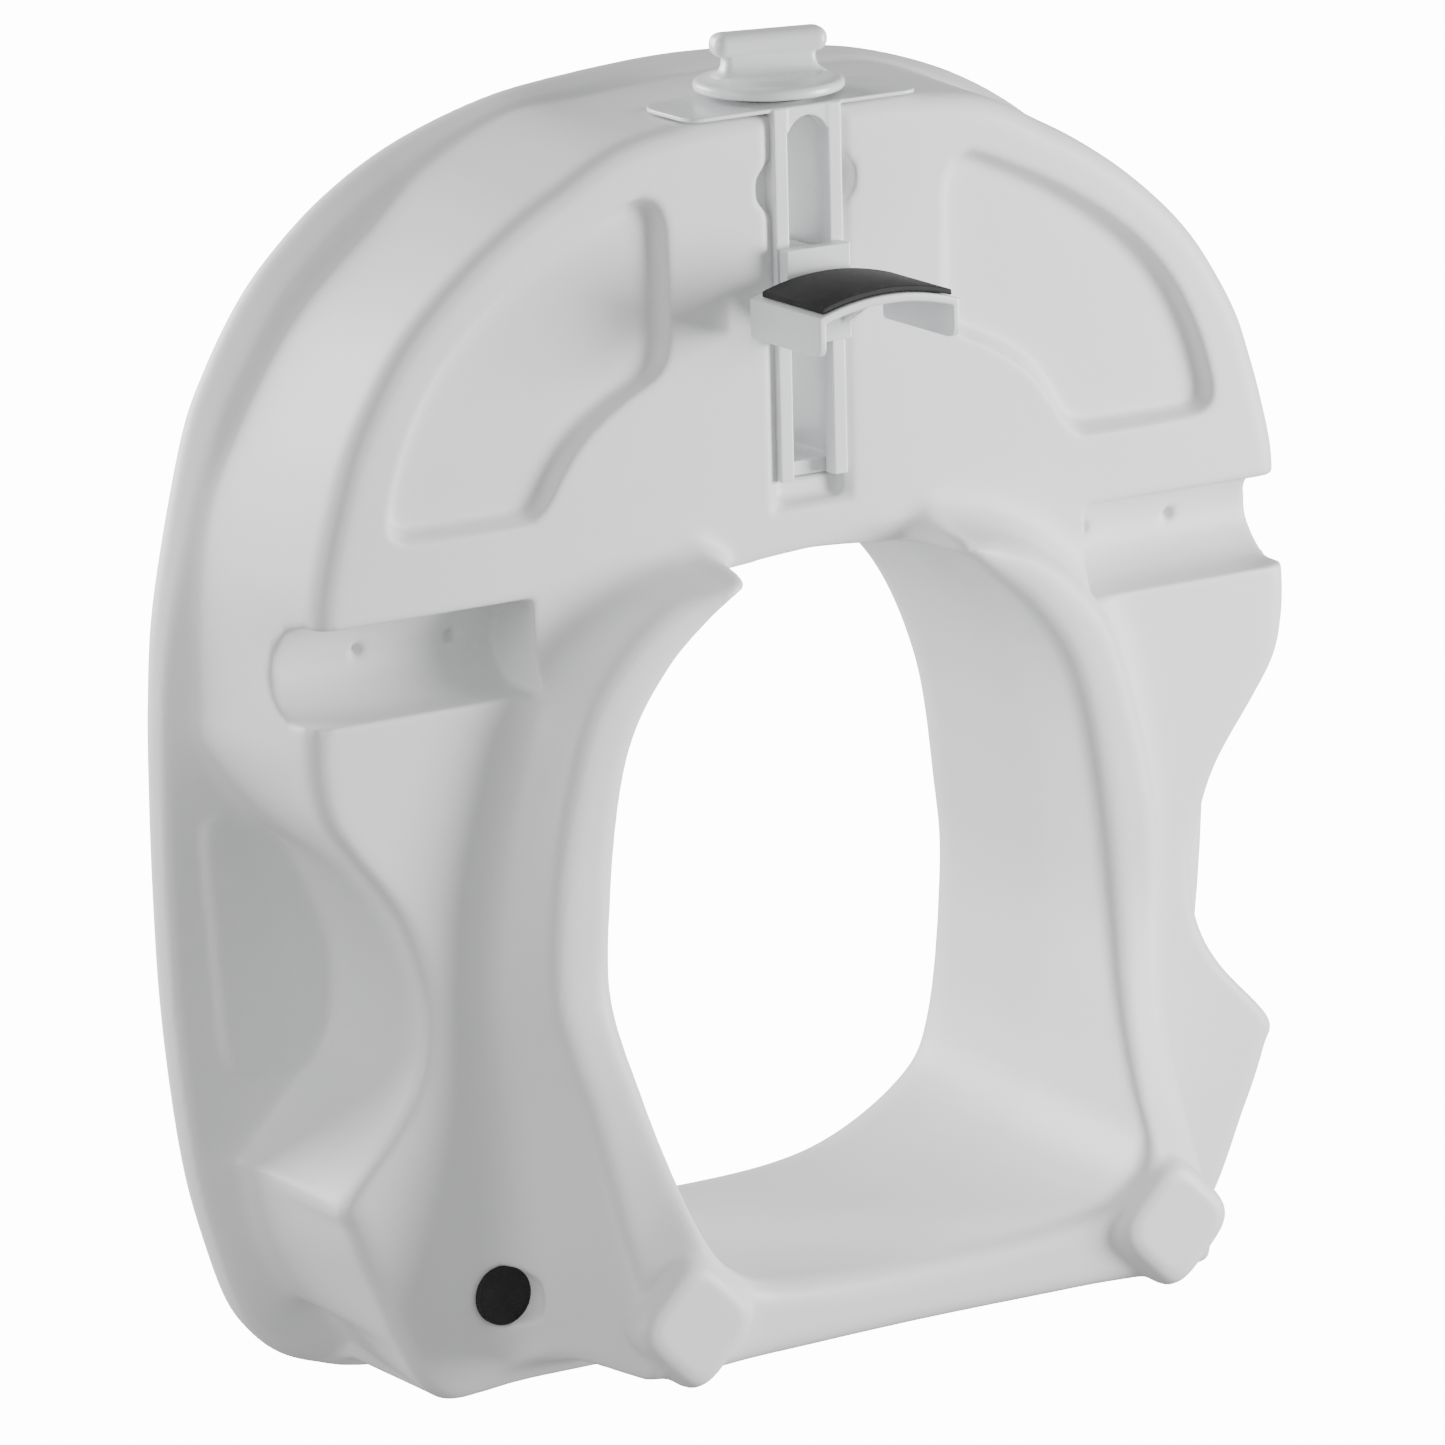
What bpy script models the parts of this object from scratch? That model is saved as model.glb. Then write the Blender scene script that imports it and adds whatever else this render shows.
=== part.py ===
"""Raised toilet seat with a screw clamp, modelled in its position of use.

Drawing terms: x is across, ahead is towards the front, down is below the face that rests on the
bowl. World axes: +X across, -Y front, +Z up. Lengths are metres unless a name ends in _MM.
"""
import math

import bmesh
import bpy
import numpy as np
from mathutils import Matrix, Vector

# ---- body ---------------------------------------------------------------------------------
GAP = 0.0003                                   # clearance between touching pieces
WALL = 0.0032                                  # moulded wall thickness
RISE = 0.0970                                  # bowl face to the crest of the seat
FLANGE_UNDER = 0.0650                          # bowl face to the flange at the side wall
FLANGE_LIP = 0.0720                            # bowl face to the flange's lower edge
EDGE_ROLL = ((0.0, 0.0165), (0.0025, 0.0105), (0.0090, 0.0055), (0.0180, 0.0020), (0.0280, 0.0))
DISH = 0.0090                                  # fall of the seat surface towards the opening
OPENING_AHEAD = -0.1130                        # centre of the opening, ahead of the arm grooves
STATION_STEP = 0.0190                          # most that two sections stand apart
FOOT_DOWN = 0.0700                             # lowest point, the collar's corner feet
SHIFT_Y = -0.0529                              # puts the origin under the middle of the object

# half outlines, (half width, distance ahead) in millimetres, front centre to back centre
OPENING_TOP_MM = ((0, 8), (40, 2), (74, -25), (92, -65), (99, -110), (101, -140), (95, -188), (82, -210),
                  (45, -228), (0, -232))
LIP_IN_MM = ((0, 4), (31, 1), (40, 0), (55, -11), (83, -42), (96, -96), (98, -129), (94, -160), (90, -184),
             (89, -210), (81, -222), (60, -229), (0, -231))
COLLAR_DROP_MM = (0, 0, 21, 25, 25, 26, 28, 39, 52, 65, 66, 62, 60)      # one for each lip point
LIP_OUT_MM = ((0, 7), (31, 3), (72, -4), (100, -29), (118, -93), (120, -135), (113, -172), (112, -238),
              (104, -248), (60, -249), (0, -249))
ROOT_MM = ((0, 12), (44, 10), (84, -2), (114, -32), (128, -80), (131, -125), (128, -170), (126, -215),
           (124, -247), (112, -257), (0, -257))
CREASE_MM = ((0, 150), (63, 146), (98, 131), (140, 103), (164, 74), (178, 44), (186, 8), (190, -30),
             (190, -52), (178, -74), (163, -97), (155, -130), (160, -156), (184, -190), (175, -219),
             (152, -262), (110, -263), (0, -263))
SIDE_TOP_MM = ((0, 151), (47, 148), (72, 144), (101, 132), (125, 116), (153, 92), (173, 65), (188, 34),
               (195, 0), (197, -31), (195, -50), (181, -70), (163, -90), (150, -122), (151, -153),
               (186, -190), (181, -217), (169, -239), (157, -244), (147, -259), (138, -266), (0, -268))
FLANGE_MM = ((0, 157), (48, 154), (78, 149), (109, 139), (133, 126), (167, 95), (191, 50), (203, 0),
             (207, -50), (207, -101), (203, -169), (199, -199), (192, -225), (179, -254), (156, -268), (138, -273),
             (0, -278))

# ---- features cut into the body -----------------------------------------------------------
ARM_WIDTH, ARM_DEPTH = 0.0310, 0.0260          # arm-tube grooves
ARM_INNER, ARM_REAR = 0.1080, -0.0305
DIMPLE_X, DIMPLE_R, DIMPLE_UP = (0.1270, 0.1620), 0.0022, 0.0130
PANEL_DEPTH, PANEL_SLOPE = 0.0060, 0.0040
PANEL_MM = ((54, 122), (62, 129), (96, 114), (118, 101), (135, 87), (147, 72), (156, 54), (162, 33),
            (159, 26), (104, 25), (96, 39), (86, 51), (69, 62), (57, 67), (53, 76))
CHANNEL_HALF, CHANNEL_DEPTH, CHANNEL_REAR = 0.0155, 0.0370, 0.0160
POCKET_AHEAD, POCKET_X, POCKET_R, POCKET_DEPTH = 0.1240, 0.0100, 0.0092, 0.0040
VENT_AHEAD, VENT_R = 0.0600, 0.0040
LAND_AHEAD, LAND_HALF, LAND_UP = 0.1470, 0.0453, 0.0350
FOOT_R, FOOT_X, FOOT_AHEAD = 0.0175, 0.0945, -0.2320
BUMPER_R, BUMPER_THICK, BUMPER_SINK = 0.0100, 0.0027, 0.0015
BUMPER_X, BUMPER_AHEAD = 0.1270, -0.2305

# ---- clamp --------------------------------------------------------------------------------
AXIS_UP = 0.0215                               # spindle axis above the bowl face
PLATE_HALF, PLATE_THICK, PLATE_UP, PLATE_DOWN = 0.0445, 0.0030, 0.0340, 0.0008
PLATE_BACK = LAND_AHEAD + GAP
PLATE_FRONT = PLATE_BACK + PLATE_THICK
RAIL_IN, RAIL_OUT, RAIL_DOWN, RAIL_UP, RAIL_REAR = 0.0078, 0.0130, 0.0015, 0.0040, 0.0260
WEB_IN, WEB_UP, TAIL_THICK = 0.0110, 0.0340, 0.0050
ARCH_AHEAD = 0.1420
SCREW_R, CORE_R, JOURNAL_R, END_R, THREAD_LEAD = 0.0045, 0.0039, 0.0030, 0.0027, 0.0060
CLIP_AHEAD, CLIP_R, CLIP_THICK = 0.1415, 0.0080, 0.0012
WASHER_R, WASHER_THICK = 0.0150, 0.0014
KNOB_R, KNOB_THICK, KNOB_ANGLE = 0.0249, 0.0054, 12.0
GRIP_HALF, GRIP_DEEP, GRIP_TALL, GRIP_TOP = 0.0198, 0.0110, 0.0082, 0.1720
NECK_HALF, NECK_DEEP = 0.0158, 0.0080
KNOB_BACK = PLATE_FRONT + GAP + WASHER_THICK + GAP
KNOB_FACE = KNOB_BACK + KNOB_THICK
SOCKET_END = 0.1620
JAW_HALF, JAW_NEAR, JAW_FAR = 0.0270, 0.0064, 0.0482
JAW_AHEAD, JAW_RISE, JAW_THICK = 0.0874, 0.0046, 0.0028
EAR_HEIGHT, EAR_THICK, RIB_X, RIB_THICK = 0.0102, 0.0026, 0.0100, 0.0024
SLIDER = (0.0720, 0.1040)                      # rear and front end of the slider on the rails
CHEEKS, CHEEK_THICK = (0.0770, 0.0976), 0.0030
NUT_HALF, NUT_UP = 0.0080, 0.0090
PAD_HALF, PAD_THICK, PAD_NEAR, PAD_FAR = 0.0250, 0.0020, 0.0108, 0.0468

parts = bpy.data.collections.new("raised_toilet_seat")
tools = bpy.data.collections.new("cutters")
tools.hide_render = True


def place(x, ahead, down):
    """World point for a place on the drawing."""
    return Vector((x, SHIFT_Y - ahead, FOOT_DOWN - down))


# ---- building helpers ---------------------------------------------------------------------
def clear_scene():
    for obj in list(bpy.data.objects):
        bpy.data.objects.remove(obj, do_unlink=True)
    for collection in (parts, tools):
        bpy.context.scene.collection.children.link(collection)


def add(name, mesh, home=tools):
    obj = bpy.data.objects.new(name, mesh)
    home.objects.link(obj)
    if home is tools:
        obj.hide_render = True
        obj.display_type = "WIRE"
    return obj


def add_bmesh(name, bm, home=tools, merge=1e-6):
    bmesh.ops.remove_doubles(bm, verts=bm.verts, dist=merge)
    bmesh.ops.recalc_face_normals(bm, faces=bm.faces)
    mesh = bpy.data.meshes.new(name)
    bm.to_mesh(mesh)
    bm.free()
    return add(name, mesh, home)


def evaluated_mesh(obj):
    bpy.context.view_layer.update()
    return bpy.data.meshes.new_from_object(obj.evaluated_get(bpy.context.evaluated_depsgraph_get()))


def apply_modifiers(obj):
    mesh = evaluated_mesh(obj)
    obj.modifiers.clear()
    obj.data = mesh
    return obj


def combine(target, other, operation):
    """Exact Boolean of the target with another object, which is used up."""
    mod = target.modifiers.new("combine", "BOOLEAN")
    mod.operation = operation
    mod.solver = "EXACT"
    mod.object = other
    apply_modifiers(target)
    bpy.data.objects.remove(other, do_unlink=True)


def cut(target, *cutters):
    for cutter in cutters:
        combine(target, cutter, "DIFFERENCE")


def join(target, *others):
    for other in others:
        combine(target, other, "UNION")


def cleaned(obj, merge=2e-5):
    bm = bmesh.new()
    bm.from_mesh(obj.data)
    bmesh.ops.remove_doubles(bm, verts=bm.verts, dist=merge)
    bmesh.ops.dissolve_degenerate(bm, edges=bm.edges, dist=merge)
    bmesh.ops.recalc_face_normals(bm, faces=bm.faces)
    bm.to_mesh(obj.data)
    bm.free()
    return obj


def bevelled(obj, width, segments=2):
    mod = obj.modifiers.new("round_edges", "BEVEL")
    mod.width = width
    mod.segments = segments
    mod.limit_method = "ANGLE"
    mod.angle_limit = math.radians(40)
    return apply_modifiers(obj)


def block(name, x, ahead, down, home=tools):
    """Cube primitive stretched between (low, high) pairs across, ahead and down."""
    bm = bmesh.new()
    middle = place(sum(x) / 2, sum(ahead) / 2, sum(down) / 2)
    size = (x[1] - x[0], ahead[1] - ahead[0], down[1] - down[0])
    bmesh.ops.create_cube(bm, size=1.0, matrix=Matrix.Translation(middle) @ Matrix.Diagonal((*size, 1.0)))
    return add_bmesh(name, bm, home)


def rod(name, x, up, radius, ahead, sides=24):
    """Cylinder primitive along the fore-and-aft line."""
    bm = bmesh.new()
    turn = Matrix.Translation(place(x, sum(ahead) / 2, -up)) @ Matrix.Rotation(math.pi / 2, 4, "X")
    bmesh.ops.create_cone(bm, cap_ends=True, segments=sides, radius1=radius, radius2=radius,
                          depth=ahead[1] - ahead[0], matrix=turn)
    return add_bmesh(name, bm)


def puck(name, x, ahead, down, radius, sides=28, home=tools):
    """Upright cylinder primitive between two depths."""
    bm = bmesh.new()
    bmesh.ops.create_cone(bm, cap_ends=True, segments=sides, radius1=radius, radius2=radius,
                          depth=down[1] - down[0], matrix=Matrix.Translation(place(x, ahead, sum(down) / 2)))
    return add_bmesh(name, bm, home)


def spun(name, profile, sides, frame, home=tools, lead=0.0, turns=1):
    """Profile of (radius, along) points turned about the local Z axis with a Screw modifier."""
    closed = profile[0] == profile[-1]
    points = profile[:-1] if closed else profile
    edges = [(i, i + 1) for i in range(len(points) - 1)] + ([(len(points) - 1, 0)] if closed else [])
    mesh = bpy.data.meshes.new(name)
    mesh.from_pydata([(r, 0.0, z) for r, z in points], edges, [])
    obj = add(name, mesh, home)
    mod = obj.modifiers.new("turn", "SCREW")
    mod.axis = "Z"
    mod.steps = mod.render_steps = sides
    mod.screw_offset = lead
    mod.iterations = turns
    mod.use_merge_vertices = lead == 0.0
    mod.merge_threshold = 0.00001
    apply_modifiers(obj)
    obj.data.transform(frame)
    bm = bmesh.new()
    bm.from_mesh(obj.data)
    bmesh.ops.remove_doubles(bm, verts=bm.verts, dist=1e-6)
    bmesh.ops.holes_fill(bm, edges=[e for e in bm.edges if e.is_boundary])
    bmesh.ops.recalc_face_normals(bm, faces=bm.faces)
    bm.to_mesh(obj.data)
    bm.free()
    return obj


def along_spindle(ahead=0.0):
    """Frame with its Z axis on the spindle, pointing to the front."""
    return Matrix.Translation(place(0.0, ahead, -AXIS_UP)) @ Matrix.Rotation(math.pi / 2, 4, "X")


def washer_ring(name, inner, outer, start, thick, sides, home=parts):
    """Ring made by spinning its square section about the spindle."""
    end = start + thick
    profile = ((inner, start), (outer, start), (outer, end), (inner, end), (inner, start))
    return spun(name, profile, sides, along_spindle(), home)


def sheet(name, outline, thickness, frame, home=tools):
    """Flat outline filled and given a thickness about its own plane."""
    curve = bpy.data.curves.new(name, "CURVE")
    curve.dimensions = "2D"
    curve.fill_mode = "BOTH"
    curve.extrude = thickness / 2
    spline = curve.splines.new("POLY")
    spline.points.add(len(outline) - 1)
    for point, (u, v) in zip(spline.points, outline):
        point.co = (u, v, 0.0, 1.0)
    spline.use_cyclic_u = True
    flat = bpy.data.objects.new(name, curve)
    tools.objects.link(flat)
    mesh = evaluated_mesh(flat)
    bpy.data.objects.remove(flat, do_unlink=True)
    bm = bmesh.new()
    bm.from_mesh(mesh)
    bm.transform(frame)
    return add_bmesh(name, bm, home)


def upright_plane(x):
    """Frame for an outline of (ahead, down) points, standing at x."""
    turn = Matrix(((0, 0, 1, 0), (-1, 0, 0, 0), (0, -1, 0, 0), (0, 0, 0, 1)))
    return Matrix.Translation(place(x, 0.0, 0.0)) @ turn


def level_plane(down):
    """Frame for an outline of (x, ahead) points, lying at a depth."""
    turn = Matrix(((1, 0, 0, 0), (0, -1, 0, 0), (0, 0, -1, 0), (0, 0, 0, 1)))
    return Matrix.Translation(place(0.0, 0.0, down)) @ turn


# ---- lofted body --------------------------------------------------------------------------
def polar(outline_mm, values=None):
    """Angle from the front and radius (or another value) along a half outline."""
    points = [(x / 1000, ahead / 1000 - OPENING_AHEAD) for x, ahead in outline_mm]
    steps = np.linspace(0, len(points) - 1, 12 * (len(points) - 1) + 1)
    x = np.interp(steps, range(len(points)), [p[0] for p in points])
    ahead = np.interp(steps, range(len(points)), [p[1] for p in points])
    value = np.hypot(x, ahead) if values is None else np.interp(steps, range(len(points)), values)
    return np.arctan2(x, ahead), value


def sample(curve, theta, soft):
    """Value at an angle, averaged over a small fan so that corners come out rounded."""
    fan = theta + np.linspace(-soft, soft, 9)
    fan = np.minimum(np.abs(fan), math.tau - np.abs(fan))
    return float(np.mean(np.interp(fan, *curve)))


OPENING_TOP, LIP_IN, LIP_OUT, ROOT, CREASE, SIDE_TOP, FLANGE = (
    polar(o) for o in (OPENING_TOP_MM, LIP_IN_MM, LIP_OUT_MM, ROOT_MM, CREASE_MM, SIDE_TOP_MM, FLANGE_MM))
DROP = polar(LIP_IN_MM, [d / 1000 for d in COLLAR_DROP_MM])


def stations():
    """Angles of the outer crease's corners and of even steps between them, front to back."""
    corners = [(x / 1000, ahead / 1000 - OPENING_AHEAD) for x, ahead in CREASE_MM]
    angles = [0.0]
    for start, end in zip(corners, corners[1:]):
        count = math.ceil(math.dist(start, end) / STATION_STEP)
        for k in range(1, count + 1):
            x, ahead = (a + (b - a) * k / count for a, b in zip(start, end))
            angles.append(math.atan2(x, ahead))
    return angles


def flange_tuck(t):
    """How far the flange's lower edge is set back, and its height; strongest at the front."""
    ahead = sample(FLANGE, t, 0.04) * math.cos(t) + OPENING_AHEAD
    share = min(max((ahead + 0.030) / 0.110, 0.0), 1.0)
    gap = sample(FLANGE, t, 0.04) - sample(SIDE_TOP, t, 0.012)
    return min(0.001 + 0.005 * share, 0.65 * gap), FLANGE_LIP - 0.0035 * share


def outer_section(t):
    """Closed (radius, height) section of the moulding, height above the bowl face."""
    top, edge = sample(OPENING_TOP, t, 0.06), sample(FLANGE, t, 0.04)
    lip_in, drop = sample(LIP_IN, t, 0.03), sample(DROP, t, 0.03)
    lip_out = max(sample(LIP_OUT, t, 0.04), lip_in + 0.006)
    root = max(sample(ROOT, t, 0.04), lip_out + 0.004)
    crease, side = sample(CREASE, t, 0.006), sample(SIDE_TOP, t, 0.012)
    ridge = max(drop - 0.004, 0.0)
    slope = lip_out + (root - lip_out) * 0.35
    lip = ((lip_in, 0.003 - drop), (lip_in + 0.0025, -drop), (lip_out - 0.0025, -drop), (lip_out, -ridge))
    base = ((slope, -0.28 * ridge), (root, 0.0), (crease - 0.003, 0.0), (crease, 0.003))
    tuck, lip_up = flange_tuck(t)
    overhang = ((side, FLANGE_UNDER - 0.001), (side + 0.0012, FLANGE_UNDER),
                (edge - tuck - 0.0015, lip_up - 0.001), (edge - tuck, lip_up + 0.001))
    rolled = tuple((edge - back, RISE - drop) for back, drop in EDGE_ROLL)
    seat = ((top + (edge - top) * 0.40, RISE - 0.002), (top + 0.012, RISE - DISH + 0.003),
            (top + 0.003, RISE - DISH - 0.003), (top, RISE - DISH - 0.010))
    return lip + base + overhang + rolled + seat


def hollow_section(t):
    """Section of the hollow, one wall thickness inside the moulding."""
    top, edge = sample(OPENING_TOP, t, 0.06) + WALL, sample(FLANGE, t, 0.04) - WALL - 0.001
    lip_in, floor = sample(LIP_IN, t, 0.03) + WALL, WALL - sample(DROP, t, 0.03)
    lip_out = max(sample(LIP_OUT, t, 0.04) - WALL, lip_in + 0.003)
    crease, side = sample(CREASE, t, 0.012) - WALL, sample(SIDE_TOP, t, 0.012) - WALL
    tuck, lip_up = flange_tuck(t)
    return ((lip_in + 0.001, floor), (lip_out, floor), (lip_out, WALL), (crease - 0.001, WALL),
            (side, FLANGE_UNDER + WALL), (edge - tuck - 0.002, lip_up + WALL + 0.002),
            (edge, RISE - 0.0170), (edge - 0.009, RISE - 0.0080 - WALL), (edge - (edge - top) * 0.35, RISE - WALL - 0.0010),
            (top + (edge - top) * 0.35, RISE - WALL - 0.005), (top + 0.004, RISE - DISH - WALL - 0.004))


def ring_body(name, section, home=tools):
    """Loft of the sections round the opening, mirrored left to right."""
    half = [(t, section(t)) for t in stations()]
    whole = half + [(math.tau - t, s) for t, s in reversed(half[1:-1])]
    bm = bmesh.new()
    rings = [[bm.verts.new(place(r * math.sin(t), r * math.cos(t) + OPENING_AHEAD, -h)) for r, h in s]
             for t, s in whole]
    for ring, after in zip(rings, rings[1:] + rings[:1]):
        for k in range(len(ring)):
            j = (k + 1) % len(ring)
            bm.faces.new((ring[k], ring[j], after[j], after[k]))
    bmesh.ops.triangulate(bm, faces=bm.faces)
    return add_bmesh(name, bm, home)


def panel_cutter(side, grow):
    """Recess with sloped walls, lofted from its mouth to its smaller floor."""
    middle = [sum(c) / len(PANEL_MM) / 1000 for c in zip(*PANEL_MM)]
    bm = bmesh.new()
    rings = []
    for down, inset in ((0.006, -PANEL_SLOPE), (-PANEL_DEPTH - grow, PANEL_SLOPE)):
        ring = []
        for x, ahead in PANEL_MM:
            out = Vector((x / 1000 - middle[0], ahead / 1000 - middle[1]))
            out *= 1 + (grow - inset) / out.length
            ring.append(bm.verts.new(place(side * (middle[0] + out.x), middle[1] + out.y, down)))
        bm.faces.new(ring)
        rings.append(ring)
    bmesh.ops.bridge_loops(bm, edges=[e for ring in rings for e in bm.edges if all(v in ring for v in e.verts)])
    return add_bmesh("panel_cut", bm)


def groove_cutter(side, grow):
    """Round-bottomed slot for an arm tube, open at the side wall."""
    radius = ARM_WIDTH / 2 + grow
    middle, deep = ARM_REAR + ARM_WIDTH / 2, ARM_DEPTH - ARM_WIDTH / 2
    bottom = [(middle + radius * math.cos(a), -deep - radius * math.sin(a)) for a in np.linspace(0, math.pi, 13)]
    outline = [(middle - radius, 0.080), (middle + radius, 0.080)] + bottom
    length = 0.120
    return sheet("groove_cut", outline, length, upright_plane(side * (ARM_INNER - grow + length / 2)))


def channel_cutters(grow):
    high = -CHANNEL_DEPTH - grow
    half = CHANNEL_HALF + grow
    pockets = [puck("pocket_cut", x, POCKET_AHEAD, (-POCKET_DEPTH - grow, 0.050), POCKET_R + grow)
               for x in (-POCKET_X, POCKET_X)]
    return [block("channel_cut", (-half, half), (CHANNEL_REAR - grow, 0.190), (high, 0.050))] + pockets


def land_cutter(grow):
    """Clears the flat land behind the front plate."""
    half = LAND_HALF + grow
    return block("land_cut", (-half, half), (LAND_AHEAD - grow, 0.200), (-LAND_UP - grow, 0.050))


def corner_foot(side):
    profile = ((0.0, FOOT_DOWN), (FOOT_R - 0.004, FOOT_DOWN), (FOOT_R, FOOT_DOWN - 0.004),
               (FOOT_R + 0.002, 0.055), (FOOT_R, 0.035), (0.0, 0.030))
    frame = Matrix.Translation(place(side * FOOT_X, FOOT_AHEAD, 0.0)) @ Matrix.Diagonal((1, 1, -1, 1))
    return spun("foot", profile, 20, frame)


def build_shell():
    """Moulded body: outer loft with its features, less the hollow, opened by one vent."""
    shell, hollow = ring_body("seat_shell", outer_section, parts), ring_body("hollow", hollow_section)
    join(shell, corner_foot(-1), corner_foot(1))
    for solid, grow in ((hollow, WALL), (shell, 0.0)):
        for side in (-1, 1):
            cut(solid, panel_cutter(side, grow), groove_cutter(side, grow))
        cut(solid, *channel_cutters(grow), land_cutter(grow))
    cut(shell, hollow, puck("vent", 0.0, VENT_AHEAD, (-0.060, -0.030), VENT_R, 16))
    for side in (-1, 1):
        for x in DIMPLE_X:
            cut(shell, rod("dimple", side * x, DIMPLE_UP, DIMPLE_R, (-0.0010, 0.0005), 12))
        cut(shell, puck("bumper_seat", side * BUMPER_X, BUMPER_AHEAD, (-BUMPER_SINK, 0.030), BUMPER_R + GAP))
    return [cleaned(shell)]


# ---- clamp pieces -------------------------------------------------------------------------
def build_frame():
    """Front plate, twin rails with their webs, the arch that ties them and the tail wall."""
    frame = block("guide_frame", (-PLATE_HALF, PLATE_HALF), (PLATE_BACK, PLATE_FRONT), (-PLATE_UP, PLATE_DOWN),
                  parts)
    bevelled(frame, 0.0012)
    for side in (-1, 1):
        rail = sorted((side * RAIL_IN, side * RAIL_OUT))
        web = sorted((side * WEB_IN, side * RAIL_OUT))
        join(frame, block("rail", rail, (RAIL_REAR, PLATE_BACK + 0.0010), (-RAIL_UP, RAIL_DOWN)),
             block("web", web, (RAIL_REAR + 0.0001, PLATE_BACK + 0.0011), (-WEB_UP, -RAIL_UP + 0.0005)))
    join(frame, block("arch", (-RAIL_IN - 0.001, RAIL_IN + 0.001), (ARCH_AHEAD, PLATE_BACK + 0.0012),
                      (-RAIL_UP + 0.0001, RAIL_DOWN - 0.0001)),
         block("tail", (0.0001 - RAIL_OUT, RAIL_OUT - 0.0001), (RAIL_REAR, RAIL_REAR + TAIL_THICK),
               (0.0001 - WEB_UP, -RAIL_UP - 0.0001)))
    cut(frame, puck("arch_top", 0.0, ARCH_AHEAD - 0.0030, (-0.020, 0.020), RAIL_IN - 0.0001, 24),
        rod("plate_bore", 0.0, AXIS_UP, SCREW_R + 0.0006, (0.140, 0.160)),
        rod("tail_bore", 0.0, AXIS_UP, 0.0052, (0.020, 0.040)))
    return [cleaned(frame)]


def build_screw():
    """Spindle: thin tail journal, threaded length, clip groove and the end that the knob takes."""
    tail, shoulder, groove = RAIL_REAR + 0.0002, 0.0320, CLIP_AHEAD - 0.0003
    profile = ((0.0, tail), (JOURNAL_R, tail), (JOURNAL_R, shoulder), (CORE_R, shoulder + 0.001),
               (CORE_R, groove - 0.004), (SCREW_R, groove - 0.0035), (SCREW_R, groove), (0.0036, groove + 0.0001),
               (0.0036, groove + 0.0018), (SCREW_R, groove + 0.0019), (SCREW_R, KNOB_BACK - GAP),
               (END_R, KNOB_BACK), (END_R, SOCKET_END - GAP), (0.0, SOCKET_END - GAP))
    screw = spun("clamp_screw", profile, 16, along_spindle(), parts)
    ridge = ((CORE_R - 0.0006, -0.0014), (SCREW_R, -0.0007), (SCREW_R, 0.0007), (CORE_R - 0.0006, 0.0014),
             (CORE_R - 0.0006, -0.0014))
    start = shoulder + 0.004
    turns = int((groove - 0.006 - start) / THREAD_LEAD)
    join(screw, spun("thread", ridge, 10, along_spindle(start), tools, THREAD_LEAD, turns))
    return [cleaned(screw)]


def build_knob():
    """Round flange with a flat neck and a rounded cross bar, turned to its rest angle."""
    profile = ((0.0, KNOB_BACK), (KNOB_R - 0.0015, KNOB_BACK), (KNOB_R, KNOB_BACK + 0.0012),
               (KNOB_R, KNOB_BACK + 0.0024), (KNOB_R - 0.0020, KNOB_FACE - 0.0006),
               (KNOB_R - 0.0090, KNOB_FACE + 0.0002), (0.0, KNOB_FACE + 0.0002))
    knob = spun("clamp_knob", profile, 48, along_spindle(), parts)
    neck = block("neck", (-NECK_HALF, NECK_HALF), (KNOB_FACE - 0.0010, GRIP_TOP - 0.0030),
                 (-AXIS_UP - NECK_DEEP / 2, -AXIS_UP + NECK_DEEP / 2))
    bar = block("bar", (-GRIP_HALF, GRIP_HALF), (GRIP_TOP - GRIP_TALL, GRIP_TOP),
                (-AXIS_UP - GRIP_DEEP / 2, -AXIS_UP + GRIP_DEEP / 2))
    join(knob, bevelled(neck, 0.0012), bevelled(bar, 0.0030, 3))
    centre = place(0.0, 0.0, -AXIS_UP)
    turn = Matrix.Rotation(math.radians(KNOB_ANGLE), 4, "Y")
    knob.data.transform(Matrix.Translation(centre) @ turn @ Matrix.Translation(-centre))
    cut(knob, rod("socket", 0.0, AXIS_UP, END_R + GAP, (0.140, SOCKET_END), 20))
    return [cleaned(knob)]


def arched_sheet(name, half, down, low, high, home=tools):
    """Sheet that follows the arch of the jaw, between two heights above its lower face."""
    xs = np.linspace(-half, half, 17)
    arch = JAW_AHEAD + JAW_RISE * (1 - (xs / JAW_HALF) ** 2)
    outline = list(zip(xs, arch + high)) + list(zip(xs, arch + low))[::-1]
    return sheet(name, outline, down[1] - down[0], level_plane(sum(down) / 2), home)


def jaw_ear(side):
    low, soft = JAW_AHEAD - EAR_HEIGHT, 0.0040
    corners = [(low + soft - soft * math.sin(a), JAW_FAR - soft + soft * math.cos(a))
               for a in np.radians((0, 45, 90))]
    outline = [(JAW_AHEAD + 0.0020, JAW_NEAR), (JAW_AHEAD + 0.0020, JAW_FAR)] + corners
    outline += [(low, JAW_NEAR + 0.0020), (low + 0.0020, JAW_NEAR)]
    return sheet("ear", outline, EAR_THICK, upright_plane(side * (JAW_HALF - EAR_THICK / 2)))


def jaw_rib(side):
    outline = [(JAW_AHEAD + 0.0050, 0.0040), (JAW_AHEAD + 0.0050, 0.0330), (JAW_AHEAD - 0.0110, 0.0040)]
    return sheet("rib", outline, RIB_THICK, upright_plane(side * RIB_X))


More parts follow.
